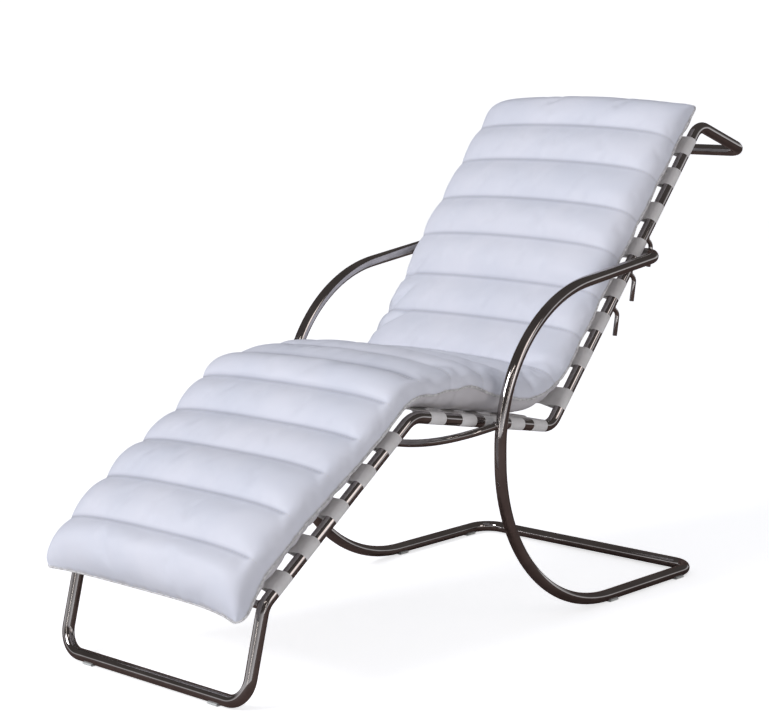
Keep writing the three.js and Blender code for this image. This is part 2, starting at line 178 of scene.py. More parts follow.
# Soft studio light: a pale room that darkens overhead, a broad lamp off the foot end, a weak one
# on the chair's left, and three narrow ones that draw the bright lines along the polished tubes.
room_ceiling = "565250"
room_walls = "f0f1f4"
room_fill = "989aa1"
walls_end = 0.03
ceiling_start = 0.24
world = bpy.data.worlds.new("studio")
bpy.context.scene.world = world
world.use_nodes = True
room = world.node_tree.nodes["Background"]
room_at = add_node(world, "ShaderNodeTexCoord")
room_up = add_node(world, "ShaderNodeSeparateXYZ", {"Vector": room_at.outputs["Generated"]})
room_tone = add_node(world, "ShaderNodeValToRGB", {"Fac": room_up.outputs["Z"]})
room_tone.color_ramp.elements[0].position = walls_end
room_tone.color_ramp.elements[0].color = linear(room_walls)
room_tone.color_ramp.elements[1].position = ceiling_start
room_tone.color_ramp.elements[1].color = linear(room_ceiling)
room_path = add_node(world, "ShaderNodeLightPath")
room_diffuse = add_node(world, "ShaderNodeMix", {
    "Factor": room_path.outputs["Is Diffuse Ray"], "A": room_tone.outputs["Color"],
    "B": linear(room_fill),
}, data_type="RGBA")
room_seen = add_node(world, "ShaderNodeMix", {
    "Factor": room_path.outputs["Is Camera Ray"], "A": mixed(room_diffuse), "B": linear("ffffff"),
}, data_type="RGBA")
world.node_tree.links.new(mixed(room_seen), room.inputs["Color"])


def add_lamp(name, place, target, width, height, power, tint):
    data = bpy.data.lights.new(name, "AREA")
    data.shape = "RECTANGLE"
    data.size = width
    data.size_y = height
    data.energy = power
    data.color = linear(tint)[:3]
    lamp = bpy.data.objects.new(name, data)
    bpy.context.scene.collection.objects.link(lamp)
    lamp.location = place
    lamp.rotation_euler = (Vector(target) - Vector(place)).to_track_quat("-Z", "Y").to_euler()


add_lamp("key_lamp", (-2.5, -10.0, 6.9), (0, 0, 0.5), 4.4, 3.2, 720, "f7f8ff")
add_lamp("fill_lamp", (3.6, 0.4, 1.6), (0, 0, 0.5), 1.2, 1.8, 13, "fff6f2")
add_lamp("tall_streak_lamp", (0.3, -4.6, 1.5), (0, 0, 0.5), 0.14, 2.6, 7, "fff8f0")
add_lamp("side_streak_lamp", (4.6, -1.6, 1.3), (0, 0, 0.5), 0.10, 2.4, 4, "fff4ec")
add_lamp("level_streak_lamp", (1.6, -3.0, 3.2), (0, 0, 0.3), 2.6, 0.10, 5, "fff8f0")

# Base loop: 25 mm steel tube in two halves, bent cold on a mandrel, plugged together inside the
# crossbars and chromed. Floor crossbar, two runners, two front sweeps, two arms and the crossbar
# behind the back.
tube_radius = 0.0125
tube_sides = 40
bend_step = math.radians(3)
floor_height = 0.0148
base_half = 0.3125
floor_bar = (0.5631, floor_height)
sweep_corner = (-0.1029, floor_height)
arm_corner = (-0.1029, 0.67258)
arm_crossbar = (0.4351, 0.73848)
floor_bend = 0.050
lower_sweep = 0.350
upper_sweep = 0.320
arm_bend = 0.0425
merge_distance = 0.00002
polish_line_spacing = 0.0012
smear_size = 1 / 14


def pointing(place, heading):
    """A pose at a place, its Z axis along a heading."""
    return Matrix.Translation(place) @ heading.to_track_quat("Z", "Y").to_matrix().to_4x4()


def start_ring(bm, pose, radius, sides):
    """A ring of edges round a pose's Z axis."""
    made = bmesh.ops.create_circle(bm, segments=sides, radius=radius, matrix=pose)["verts"]
    return list({e for v in made for e in v.link_edges})


def run_on(bm, ring, step):
    """A straight run: the ring is drawn out by a step."""
    return draw_out(bm, ring, Matrix.Translation(step))


def draw_tube(bm, corners, radii, radius, sides, bend_angle=bend_step):
    """Draws a tube from corner to corner, with a round bend at each corner; gives its last ring."""
    points = [Vector(c) for c in corners]
    place = points[0]
    ring = start_ring(bm, pointing(place, (points[1] - place).normalized()), radius, sides)
    for before, corner, after, bend in zip(points, points[1:], points[2:], radii):
        heading = (corner - before).normalized()
        leaving = (after - corner).normalized()
        turn = heading.angle(leaving)
        setback = bend * math.tan(turn / 2)
        bend_start = corner - heading * setback
        inward = (leaving - heading * math.cos(turn)).normalized()
        ring = run_on(bm, ring, bend_start - place)
        ring = edges_of(bmesh.ops.spin(
            bm, geom=ring, cent=bend_start + inward * bend, axis=heading.cross(inward),
            angle=turn, steps=math.ceil(turn / bend_angle),
        )["geom_last"])
        place = corner + leaving * setback
    return run_on(bm, ring, points[-1] - place)


def close_up(bm):
    """Merges what meets and turns every face outwards."""
    bmesh.ops.remove_doubles(bm, verts=bm.verts, dist=merge_distance)
    bmesh.ops.recalc_face_normals(bm, faces=bm.faces)


# Chrome plate on polished steel: almost a mirror, a little warm, with faint smears and polishing
# lines that break its reflections. The lines are drawn coarse enough to show.
chrome = new_material("polished_chrome_plate")
chrome_shader = chrome.node_tree.nodes["Principled BSDF"]
chrome_shader.inputs["Metallic"].default_value = 1.0
at = add_node(chrome, "ShaderNodeTexCoord")
smear = add_node(chrome, "ShaderNodeTexNoise", {
    "Vector": at.outputs["Object"], "Scale": 1 / smear_size, "Detail": 3.0, "Roughness": 0.55,
})
chrome_tone = add_node(chrome, "ShaderNodeValToRGB", {"Fac": smear.outputs["Fac"]})
chrome_tone.color_ramp.elements[0].position = 0.35
chrome_tone.color_ramp.elements[0].color = linear("a8a3a2")
chrome_tone.color_ramp.elements[1].position = 0.68
chrome_tone.color_ramp.elements[1].color = linear("bab6b5")
chrome.node_tree.links.new(chrome_tone.outputs["Color"], chrome_shader.inputs["Base Color"])
gloss = add_node(chrome, "ShaderNodeMapRange", {
    "Value": smear.outputs["Fac"], "From Min": 0.3, "From Max": 0.7, "To Min": 0.05, "To Max": 0.11,
})
chrome.node_tree.links.new(gloss.outputs["Result"], chrome_shader.inputs["Roughness"])
lines = add_node(chrome, "ShaderNodeTexNoise", {
    "Vector": at.outputs["Object"], "Scale": 1 / polish_line_spacing, "Detail": 2.0,
})
dents = add_node(chrome, "ShaderNodeBump", {
    "Height": lines.outputs["Fac"], "Strength": 0.03, "Distance": 0.0002,
})
chrome.node_tree.links.new(dents.outputs["Normal"], chrome_shader.inputs["Normal"])


def bend_loop(name, half, side, bends):
    """A closed loop of tube, from the middle of its first crossbar along one side and back."""
    middle = (0, *side[0])
    left = [(half, *corner) for corner in side]
    right = [(-half, *corner) for corner in reversed(side)]
    bm = bmesh.new()
    draw_tube(bm, [middle] + left + right + [middle], bends + bends[::-1], tube_radius, tube_sides)
    close_up(bm)
    return new_piece(name, bm, chrome)


base_loop = bend_loop(
    "base_loop_tube", base_half, [floor_bar, sweep_corner, arm_corner, arm_crossbar],
    [floor_bend, lower_sweep, upper_sweep, arm_bend],
)
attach(base_loop, "base")
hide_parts("base_tube_left", "base_tube_right", "floor_bar_plug", "arm_crossbar_plug")

# Stretcher: a 16 mm steel rod bowed forward under the seat, welded at both ends to the front
# sweeps, with a ground bead of weld round each end.
rod_radius = 0.008
rod_sides = 28
stretcher_end = Vector((base_half, -0.09794, 0.44542))
stretcher_bow = Vector((0, -0.145, -0.038))
stretcher_flatness = 5
stretcher_steps = 96
bead_radius = 0.0022
bead_sides = 10
bead_share = 0.981
bead_aim_share = 0.971


def stretcher_place(share):
    """A point of the rod's centre line, from -1 at the sitter's right to 1 at the left."""
    straight = Vector((stretcher_end.x * share, stretcher_end.y, stretcher_end.z))
    return straight + stretcher_bow * (1 - abs(share) ** stretcher_flatness)


def draw_through(bm, poses, radius, sides):
    """Draws a rod through close-set poses, square to the Z axis of each."""
    ring = start_ring(bm, poses[0], radius, sides)
    for before, after in zip(poses, poses[1:]):
        ring = draw_out(bm, ring, after @ before.inverted())


def add_bead(bm, place, heading, radius):
    """A rounded ring of weld where a rod of that radius leaves a tube."""
    before = set(bm.verts)
    section = bmesh.ops.create_circle(
        bm, segments=bead_sides, radius=bead_radius,
        matrix=Matrix.Translation((radius, 0, 0)) @ Matrix.Rotation(math.pi / 2, 4, "X"),
    )["verts"]
    edges = list({e for v in section for e in v.link_edges})
    bmesh.ops.spin(
        bm, geom=section + edges, cent=(0, 0, 0), axis=(0, 0, 1),
        angle=2 * math.pi, steps=rod_sides, use_merge=True,
    )
    bead = [v for v in bm.verts if v not in before]
    bmesh.ops.transform(bm, verts=bead, matrix=pointing(place, heading))


bm = bmesh.new()
bow_side = Vector((1, 0, 0)).cross(stretcher_bow).normalized()
places = [stretcher_place(2 * i / stretcher_steps - 1) for i in range(stretcher_steps + 1)]
poses = []
for before, place, after in zip(places[:1] + places, places, places[1:] + places[-1:]):
    heading = (after - before).normalized()
    poses.append(pose_at(place, bow_side, heading.cross(bow_side), heading))
draw_through(bm, poses, rod_radius, rod_sides)
for sign in (1, -1):
    heading = stretcher_place(sign * bead_aim_share) - stretcher_place(sign * bead_share)
    add_bead(bm, stretcher_place(sign * bead_share), heading.normalized(), rod_radius)
close_up(bm)
stretcher = new_piece("stretcher_rod", bm, chrome)
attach(stretcher, "base")
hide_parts("seat_stretcher")

# Lounge frame: a second closed loop of the same tube, which stands on its foot bar and hangs by
# its hooks. Foot bar, foot legs, leg, seat and back rails, and the handle that turns back and down
# behind the head.
rail_half = 0.270
foot_corner = (-0.77307, floor_height)
ankle = (-0.72309, 0.19500)
knee = (-0.31649, 0.48771)
hip = (0.10826, 0.40360)
back_top = (0.63100, 1.00920)
handle_corner = (0.81024, 0.94039)
lounge_bends = [0.050, 0.045, 0.055, 0.038, 0.040, 0.040]

lounge_loop = bend_loop(
    "lounge_loop_tube", rail_half, [foot_corner, ankle, knee, hip, back_top, handle_corner],
    lounge_bends,
)
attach(lounge_loop, "lounge_frame")
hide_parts("lounge_rail_left", "lounge_rail_right", "foot_bar_plug", "handle_plug")

# Ankle rod: a straight 16 mm rod across the ankle bends, under the foot end of the cushion, welded
# to both rails with a bead at each end.
ankle_bead_stand_off = 0.0005
low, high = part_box("foot_rod")
rod_line = (low + high) / 2
bm = bmesh.new()
draw_tube(
    bm, [(-rail_half, rod_line.y, rod_line.z), (rail_half, rod_line.y, rod_line.z)], [],
    rod_radius, rod_sides,
)
for sign in (1, -1):
    bead_x = rail_half - tube_radius + ankle_bead_stand_off
    bead_place = Vector((sign * bead_x, rod_line.y, rod_line.z))
    add_bead(bm, bead_place, Vector((1, 0, 0)), rod_radius)
close_up(bm)
ankle_rod = new_piece("ankle_rod", bm, chrome)
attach(ankle_rod, "lounge_frame")
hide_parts("foot_rod")

# Hooks: three on the back of each back rail, 10 mm rod welded on square, bent over and hanging
# down. One pair at a time drops over the arm crossbar and sets how far the chair leans back.
hook_radius = 0.005
hook_sides = 24
hook_shares = [0.619, 0.504, 0.39]
back_rail_length = 0.800
back_angle = math.radians(49.2)
hook_stand_off = 0.033
hook_bend = 0.014
hook_bend_step = math.radians(8)
hook_root_sink = 0.002
hook_bead_sink = 0.0004
hook_leg = 0.050
hook_lean = math.radians(-101)
hook_end_round = 0.0012
hook_end_shrinks = (0.92, 0.78)
back_heading = Vector((0, math.cos(back_angle), math.sin(back_angle)))
back_behind = Vector((0, math.sin(back_angle), -math.cos(back_angle)))
leg_heading = Vector((0, math.cos(hook_lean), math.sin(hook_lean)))


def round_off(bm, ring, heading, depth):
    """Ends a rod in a slightly domed face."""
    centre = sum((v.co for e in ring for v in e.verts), Vector()) / (2 * len(ring))
    for shrink in hook_end_shrinks:
        ring = run_on(bm, ring, heading * depth / 2)
        centre = centre + heading * depth / 2
        bmesh.ops.scale(
            bm, verts=list({v for e in ring for v in e.verts}), vec=(shrink, shrink, shrink),
            space=Matrix.Translation(-centre),
        )
    bmesh.ops.edgeloop_fill(bm, edges=ring)


for side, sign in (("left", 1), ("right", -1)):
    for number, share in enumerate(hook_shares, 1):
        root = Vector((sign * rail_half, *hip)) + back_heading * share * back_rail_length
        start = root + back_behind * (tube_radius - hook_root_sink)
        elbow = root + back_behind * hook_stand_off
        tip = elbow + leg_heading * (hook_leg - hook_end_round)
        bm = bmesh.new()
        end_ring = draw_tube(
            bm, [start, elbow, tip], [hook_bend], hook_radius, hook_sides, hook_bend_step
        )
        round_off(bm, end_ring, leg_heading, hook_end_round)
        add_bead(bm, root + back_behind * (tube_radius - hook_bead_sink), back_behind, hook_radius)
        close_up(bm)
        hook = new_piece(f"hook_rod_{side}_{number}", bm, chrome)
        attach(hook, "lounge_frame")
        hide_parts(f"hook_{side}_{number}")

# Straps: off-white saddle leather, 45 mm wide and 3 mm thick, wrapped round both rails. Each end is
# folded back under the strap and held by two rivets.
strap_width = 0.045
strap_thickness = 0.003
strap_gap = 0.0003
strap_wrap = math.radians(207.66)
strap_wrap_steps = 26
strap_band_steps = (0.4, 0.3, 0.2, 0.1)
strap_tail = 0.034
strap_tail_sink = 0.0001
strap_ease = 0.006
strap_ease_run = 0.004
strap_edge = 0.0007
sharp_angle = 1.2
same_place = 0.00001
rivet_radius = 0.004
rivet_flatness = 0.4
rivet_sink = 0.0002
rivet_inset = 0.014
strap_rows = {
    "leg": (ankle, knee, [0.107, 0.288, 0.481, 0.667, 0.845]),
    "seat": (knee, hip, [0.153, 0.368, 0.53, 0.72, 0.891]),
    "back": (hip, back_top, [0.083, 0.213, 0.327, 0.436, 0.573, 0.693, 0.812, 0.919]),
}
hide_grain = 0.0011
hide_cloud_size = 1 / 32
rivet_speck_size = 1 / 300

# Saddle leather, dyed and waxed: dull and slightly cloudy, its pores drawn coarse enough to show.
strap_leather = new_material("saddle_leather")
strap_shader = strap_leather.node_tree.nodes["Principled BSDF"]
strap_at = add_node(strap_leather, "ShaderNodeTexCoord")
hide_tone = add_node(strap_leather, "ShaderNodeTexNoise", {
    "Vector": strap_at.outputs["Object"], "Scale": 1 / hide_cloud_size, "Detail": 4.0,
    "Roughness": 0.6,
})
hide_colour = add_node(strap_leather, "ShaderNodeValToRGB", {"Fac": hide_tone.outputs["Fac"]})
hide_colour.color_ramp.elements[0].position = 0.3
hide_colour.color_ramp.elements[0].color = linear("dfdcd8")
hide_colour.color_ramp.elements[1].position = 0.72
hide_colour.color_ramp.elements[1].color = linear("edebe8")
strap_leather.node_tree.links.new(hide_colour.outputs["Color"], strap_shader.inputs["Base Color"])
strap_shader.inputs["Roughness"].default_value = 0.52
strap_shader.inputs["Specular IOR Level"].default_value = 0.4
pores = add_node(strap_leather, "ShaderNodeTexVoronoi", {
    "Vector": strap_at.outputs["Object"], "Scale": 1 / hide_grain,
}, feature="F1")
strap_bump = add_node(strap_leather, "ShaderNodeBump", {
    "Height": pores.outputs["Distance"], "Strength": 0.25, "Distance": 0.0003,
})
strap_leather.node_tree.links.new(strap_bump.outputs["Normal"], strap_shader.inputs["Normal"])

# Pressed rivets plated with nickel: a soft grey shine, a little mottled.
rivet_steel = new_material("nickel_rivet")
rivet_shader = rivet_steel.node_tree.nodes["Principled BSDF"]
rivet_shader.inputs["Metallic"].default_value = 1.0
rivet_shader.inputs["Roughness"].default_value = 0.28
rivet_at = add_node(rivet_steel, "ShaderNodeTexCoord")
rivet_tone = add_node(rivet_steel, "ShaderNodeTexNoise", {
    "Vector": rivet_at.outputs["Object"], "Scale": 1 / rivet_speck_size,
})
rivet_colour = add_node(rivet_steel, "ShaderNodeValToRGB", {"Fac": rivet_tone.outputs["Fac"]})
rivet_colour.color_ramp.elements[0].color = linear("8f8c88")
rivet_colour.color_ramp.elements[1].color = linear("b9b6b1")
rivet_steel.node_tree.links.new(rivet_colour.outputs["Color"], rivet_shader.inputs["Base Color"])


def strap_half(bm):
    """One half of a strap's inner face, drawn from its middle out and round a rail."""
    inner = tube_radius + strap_gap
    band_height = inner - strap_tail_sink
    start = [bm.verts.new((0, inner, side * strap_width / 2)) for side in (-1, 1)]
    ring = [bm.edges.new(start)]
    for step in strap_band_steps:
        ring = run_on(bm, ring, (rail_half * step, 0, 0))
    ring = edges_of(bmesh.ops.spin(
        bm, geom=ring, cent=(rail_half, 0, 0), axis=(0, 0, -1), angle=strap_wrap,
        steps=strap_wrap_steps,
    )["geom_last"])
    wrap_end = math.pi / 2 - strap_wrap
    heading = Vector((math.sin(wrap_end), -math.cos(wrap_end), 0))
    up_to_band = (band_height - ring[0].verts[0].co.y) / heading.y
    ring = run_on(bm, ring, heading * (up_to_band - strap_ease))
    ring = run_on(bm, ring, heading * strap_ease_run)
    ring = run_on(bm, ring, Vector((-strap_ease_run, band_height - ring[0].verts[0].co.y, 0)))
    ring = run_on(bm, ring, (-strap_tail, 0, 0))
    return ring[0].verts[0].co.x


def ease_edges(bm, width):
    """Rounds every sharp edge a little."""
    sharp = [e for e in bm.edges if e.calc_face_angle(0) > sharp_angle]
    bmesh.ops.bevel(
        bm, geom=sharp, offset=width, offset_type="OFFSET", segments=2, profile=0.5,
        affect="EDGES", material=-1, clamp_overlap=True,
    )


for row, (lower, upper, places) in strap_rows.items():
    run = Vector((0, upper[0] - lower[0], upper[1] - lower[1]))
    heading = run.normalized()
    normal = Vector((0, -heading.z, heading.y))
    for number, share in enumerate(places, 1):
        middle = Vector((0, *lower)) + run * share
        pose = pose_at(middle, Vector((1, 0, 0)), normal, -heading)
        bm = bmesh.new()
        tail_end = strap_half(bm)
        bmesh.ops.mirror(
            bm, geom=bm.verts[:] + bm.edges[:] + bm.faces[:], axis="X", merge_dist=same_place
        )
        bmesh.ops.remove_doubles(bm, verts=bm.verts, dist=same_place)
        bmesh.ops.recalc_face_normals(bm, faces=bm.faces)
        top = max(bm.faces, key=lambda f: f.calc_center_median().y)
        if top.normal.y < 0:
            bmesh.ops.reverse_faces(bm, faces=bm.faces)
        bmesh.ops.solidify(bm, geom=bm.faces[:], thickness=strap_thickness)
        close_up(bm)
        ease_edges(bm, strap_edge)
        bmesh.ops.transform(bm, verts=bm.verts, matrix=pose)
        close_up(bm)
        strap = new_piece(f"{row}_strap_leather_{number}", bm, strap_leather)
        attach(strap, "lounge_frame")
        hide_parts(f"{row}_strap_{number}")

        bm = bmesh.new()
        for sign in (1, -1):
            for across in (-1, 1):
                place = Vector((
                    sign * (tail_end + rivet_inset),
                    tube_radius + strap_gap - strap_thickness - rivet_sink,
                    across * strap_width / 4,
                ))
                bmesh.ops.create_uvsphere(
                    bm, u_segments=14, v_segments=6, radius=rivet_radius,
                    matrix=pose @ Matrix.Translation(place)
                    @ Matrix.Diagonal((1, rivet_flatness, 1, 1)),
                )
        close_up(bm)
        rivets = new_piece(f"{row}_strap_rivets_{number}", bm, rivet_steel)
        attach(rivets, "lounge_frame")

# Cushion: one long pad of soft white leather, a top and a bottom panel sewn together round the edge
# with a piping, stuffed with fibre and quilted straight across into seventeen rolls.
cushion_half = 0.282
cushion_start = Vector((0, -0.77868, 0.17477))
cushion_heading = 35.75
cushion_line = [(0.53410, 0), (0.05826, -46.95), (0.27750, 0), (0.22138, 60.4), (0.68444, 0)]
cushion_length = sum(length for length, _ in cushion_line)
channel_shares = [
    0.050, 0.114, 0.179, 0.237, 0.293, 0.326, 0.372, 0.428,
    0.484, 0.573, 0.648, 0.704, 0.762, 0.819, 0.880, 0.937,
]
channels = [share * cushion_length for share in channel_shares]
crown_marks = [
    (0, 0.120), (0.23, 0.118), (0.43, 0.090), (0.57, 0.093), (0.71, 0.116), (0.87, 0.116),
    (1.06, 0.097), (1.21, 0.096), (1.39, 0.119), (cushion_length, 0.113),
]
seam_marks = [
    (0, 0.026), (0.10, 0.034), (0.21, 0.035), (0.31, 0.029), (0.43, 0.022), (0.52, 0.022),
    (0.60, 0.028), (0.66, 0.041), (0.72, 0.053), (0.81, 0.038), (0.93, 0.033), (1.06, 0.028),
    (1.40, 0.030), (cushion_length, 0.030),
]
foot_seam = {"middle": 0.014, "left": 0.008, "right": 0.026}
head_seam = {"middle": 0.018, "left": 0.030, "right": 0.026}
end_seam_reach = 0.09
roll_fullness = 2.1
channel_fullness = 2.0
crown_steepness = 0.26
channel_sharpness = 2.2
channel_depth_marks = [
    (0, 0.023), (0.58, 0.023), (0.68, 0.015), (0.90, 0.012), (1.02, 0.020), (cushion_length, 0.020),
]
channel_fade_marks = [
    (0, 0.0), (0.60, 0.05), (0.68, 0.80), (0.92, 0.80), (1.05, 0.40), (cushion_length, 0.45),
]
leg_side_end = (0.56, 0.70)
leg_squareness = 1.5
leg_run_out = 0.85
run_out_shares = (0.92, 0.99)
cushion_end_radius = 0.045
side_draw_in = 0.004
end_draw_in = 0.005
foot_ear = 0.008
corner_radii = {"foot_left": 0.022, "foot_right": 0.014, "head_left": 0.010, "head_right": 0.065}
bottom_flat_share = 0.8
bottom_rise_share = 0.2
bottom_end_round = 0.05
usual_roll = 0.105
usual_rise = 0.09
leather_over_crown = 0.75
rows_per_roll = 12
rows_round_end = 9
columns = 76
share_steps = 2000
panel_merge_distance = 0.00005
edge_crease = 1.0
channel_crease = 0.5
swell_room = 0.005
swell_cap = 0.011
side_hold = 0.75
swell_frames = 20


def cushion_place(distance):
    """The point and heading of the cushion's underside at a distance from its foot end."""
    point = cushion_start.copy()
    angle = math.radians(cushion_heading)
    left = distance
    for length, turn in cushion_line:
        part = min(left, length)
        turned = math.radians(turn) * part / length
        if turn:
            radius = length / math.radians(turn)
            ahead = math.sin(angle + turned) - math.sin(angle)
            rise = math.cos(angle) - math.cos(angle + turned)
            point += radius * Vector((0, ahead, rise))
        else:
            point += part * Vector((0, math.cos(angle), math.sin(angle)))
        angle += turned
        left -= part
        if left <= 0:
            break
    return point + max(0, left) * Vector((0, math.cos(angle), math.sin(angle))), angle


def smooth(value, low, high):
    share = min(1, max(0, (value - low) / (high - low)))
    return share * share * (3 - 2 * share)


def read_marks(marks, distance):
    """A height from a table of marks, running smoothly from one mark to the next."""
    for (start, first), (end, second) in zip(marks, marks[1:]):
        if distance <= end:
            return first + (second - first) * smooth(distance, start, end)
    return marks[-1][1]


def channel_pull(distance):
    """1 on a channel seam, falling to 0 half-way along a roll."""
    marks = [-channels[0]] + channels + [2 * cushion_length - channels[-1]]
    for start, end in zip(marks, marks[1:]):
        if distance <= end:
            return abs(2 * (distance - start) / (end - start) - 1) ** channel_sharpness
    return 0


def leg_side(distance, share):
    """1 on the sitter's left of the leg, where the side stands up steeper, and 0 elsewhere."""
    return (1 - smooth(distance, *leg_side_end)) if share > 0 else 0


def channel_hold(distance, share):
    """How much of a channel is left: it runs out over the cushion's sides, most on the leg."""
    left = 1 - read_marks(channel_fade_marks, distance) * abs(share) ** 6
    return left * (1 - leg_run_out * smooth(share, *run_out_shares) * leg_side(distance, share))


def edge_seam_height(distance, share):
    """Height of the edge seam over the underside: the ends dip, and the corners differ."""
    from_end = min(distance, cushion_length - distance)
    at_end = foot_seam if distance < cushion_length / 2 else head_seam
    corner = at_end["left" if share > 0 else "right"]
    end_height = at_end["middle"] + (corner - at_end["middle"]) * abs(share) ** 4
    height = read_marks(seam_marks, distance)
    return height + (end_height - height) * (1 - smooth(from_end, 0, end_seam_reach))


def cushion_point(distance, share, panel, spare=0.0):
    """A point of the top panel (panel 1) or the bottom panel (panel 0)."""
    from_end = min(distance, cushion_length - distance)
    near_end = 1 - smooth(from_end, 0, channels[0])
    shift = end_draw_in * near_end * (1 - abs(share) ** 3)
    if distance < cushion_length / 2:
        shift -= foot_ear * near_end * abs(share) ** 6
    else:
        shift = -shift
    point, angle = cushion_place(distance + shift)
    up = Vector((0, -math.sin(angle), math.cos(angle)))
    pull = channel_pull(distance)
    seam = edge_seam_height(distance, share)
    end_name = "foot" if distance < cushion_length / 2 else "head"
    side_name = "left" if share > 0 else "right"
    corner = corner_radii[f"{end_name}_{side_name}"]
    cut = max(0, 1 - from_end / corner)
    end_radius = cushion_end_radius * (1 + 0.5 * share * share)
    rising = 1 - min(1, from_end / end_radius)
    end = math.sqrt(max(0, 1 - rising * rising))
    draw_in = side_draw_in * pull * end * (1 - leg_run_out * leg_side(distance, share))
    half = cushion_half - draw_in - corner * (1 - math.sqrt(1 - cut * cut))
    if panel:
        fullness = roll_fullness + (channel_fullness - roll_fullness) * max(pull, near_end)
        fullness += leg_squareness * leg_side(distance, share)
        roundness = max(0, 1 - abs(share) ** fullness) ** crown_steepness
        sunk = read_marks(channel_depth_marks, distance) * pull * channel_hold(distance, share)
        crown = read_marks(crown_marks, distance) - sunk - spare * (1 - pull)
        height = seam + (crown - seam) * roundness * end
    else:
        side_lift = max(0, (abs(share) - bottom_flat_share) / bottom_rise_share)
        end_lift = max(0, 1 - from_end / bottom_end_round)
        flat = math.sqrt(max(0, 1 - side_lift ** 2)) * math.sqrt(max(0, 1 - end_lift ** 2))
        height = seam * (1 - flat)
    return point + up * height + Vector((share * half, 0, 0))


def cushion_rows():
    """Distances of the grid's rows, close together round the ends, with a row on every channel."""
    ends = [
        cushion_end_radius * (1 - math.cos(math.pi / 2 * i / rows_round_end))
        for i in range(rows_round_end)
    ]
    marks = [cushion_end_radius] + channels + [cushion_length - cushion_end_radius]
    made = list(ends)
    for start, end in zip(marks, marks[1:]):
        steps = max(2, round(rows_per_roll * (end - start) / usual_roll))
        made += [start + (end - start) * i / steps for i in range(steps)]
    return made + [marks[-1]] + [cushion_length - r for r in reversed(ends)]


def even_shares(count):
    """Shares of the half width, evenly spaced along the crown's curve."""
    fine = [math.sin(math.pi * (i / share_steps - 0.5)) for i in range(share_steps + 1)]
    crown = [(s, max(0, 1 - abs(s) ** roll_fullness) ** crown_steepness) for s in fine]
    run = [0.0]
    for (s, h), (t, k) in zip(crown, crown[1:]):
        run.append(run[-1] + math.hypot((t - s) * cushion_half, (k - h) * usual_rise))
    made, found = [], 0
    for i in range(count + 1):
        while run[found] < run[-1] * i / count - 1e-9:
            found += 1
        made.append(fine[found])
    return made


rows = cushion_rows()
across = even_shares(columns)
channel_rows = {min(range(len(rows)), key=lambda i: abs(rows[i] - c)) for c in channels}

bm = bmesh.new()
held = bm.verts.layers.deform.verify()
row_layer = bm.verts.layers.float.new("along")
share_layer = bm.verts.layers.float.new("across")
top_layer = bm.verts.layers.float.new("top")
edge_layer = bm.verts.layers.float.new("edge_run")
column_run = leather_over_crown / columns
end_row_run = math.pi / 2 * cushion_end_radius / rows_round_end
crease = bm.edges.layers.float.new("crease_edge")
for panel in (1, 0):
    made = bmesh.ops.create_grid(bm, x_segments=columns, y_segments=len(rows) - 1, size=1)["verts"]
    edge_verts, channel_verts = set(), set()
    for vert in made:
        column = round((vert.co.x + 1) / 2 * columns)
        row = round((vert.co.y + 1) / 2 * (len(rows) - 1))
        if column in (0, columns) or row in (0, len(rows) - 1):
            edge_verts.add(vert)
        elif row in channel_rows:
            channel_verts.add(vert)
        vert[row_layer] = rows[row]
        vert[share_layer] = across[column]
        vert[top_layer] = panel
        vert[edge_layer] = min(
            min(column, columns - column) * column_run, min(row, len(rows) - 1 - row) * end_row_run
        )
        if vert in edge_verts or vert in channel_verts or not panel:
            vert[held][0] = 1.0
        vert.co = cushion_point(rows[row], across[column], panel, swell_room)
    if not panel:
        bmesh.ops.reverse_faces(bm, faces=list({f for v in made for f in v.link_faces}))
    for vert in made:
        for edge in vert.link_edges:
            other = edge.other_vert(vert)
            if len(edge.link_faces) == 1:
                edge[crease] = edge_crease
            elif panel and vert in channel_verts and other in channel_verts:
                edge[crease] = channel_crease if vert[row_layer] == other[row_layer] else 0
bmesh.ops.remove_doubles(bm, verts=bm.verts, dist=panel_merge_distance)

# White leather with a fine pebbled grain, drawn a little coarse so that it shows. It is creased
# beside the seams, with painted shade darkening it there, and the bottom panel is coloured a
# plainer grey.
leather_grain = 0.0014
leather_creases = 0.011
leather_cloud_size = 1 / 6
cushion_leather = new_material("soft_white_leather")
cushion_shader = cushion_leather.node_tree.nodes["Principled BSDF"]
cushion_at = add_node(cushion_leather, "ShaderNodeTexCoord")
leather_tone = add_node(cushion_leather, "ShaderNodeTexNoise", {
    "Vector": cushion_at.outputs["Object"], "Scale": 1 / leather_cloud_size, "Detail": 3.0,
    "Roughness": 0.5,
})
leather_colour = add_node(cushion_leather, "ShaderNodeValToRGB", {
    "Fac": leather_tone.outputs["Fac"],
})
leather_colour.color_ramp.elements[0].position = 0.3
leather_colour.color_ramp.elements[0].color = linear("e2e5ee")
leather_colour.color_ramp.elements[1].position = 0.7
leather_colour.color_ramp.elements[1].color = linear("ecedf4")
# Painted shade: beside the channel and edge seams the leather colour is mixed towards a darker
# blue-grey, standing in for the shade in the creases.
beside_seam = add_node(cushion_leather, "ShaderNodeAttribute", attribute_name="seam_nearness")
seam_shade_share = add_node(cushion_leather, "ShaderNodeMapRange", {
    "Value": beside_seam.outputs["Fac"],
    "From Min": 0.25, "From Max": 1.0, "To Min": 0.0, "To Max": 0.6,
})
seam_shade_mix = add_node(cushion_leather, "ShaderNodeMix", {
    "Factor": seam_shade_share.outputs["Result"],
    "A": leather_colour.outputs["Color"], "B": linear("a4a7b4"),
}, data_type="RGBA")
on_top = add_node(cushion_leather, "ShaderNodeAttribute", attribute_name="top")
panel_mix = add_node(cushion_leather, "ShaderNodeMix", {
    "Factor": on_top.outputs["Fac"], "A": linear("d2cfd0"), "B": mixed(seam_shade_mix),
}, data_type="RGBA")
cushion_leather.node_tree.links.new(mixed(panel_mix), cushion_shader.inputs["Base Color"])
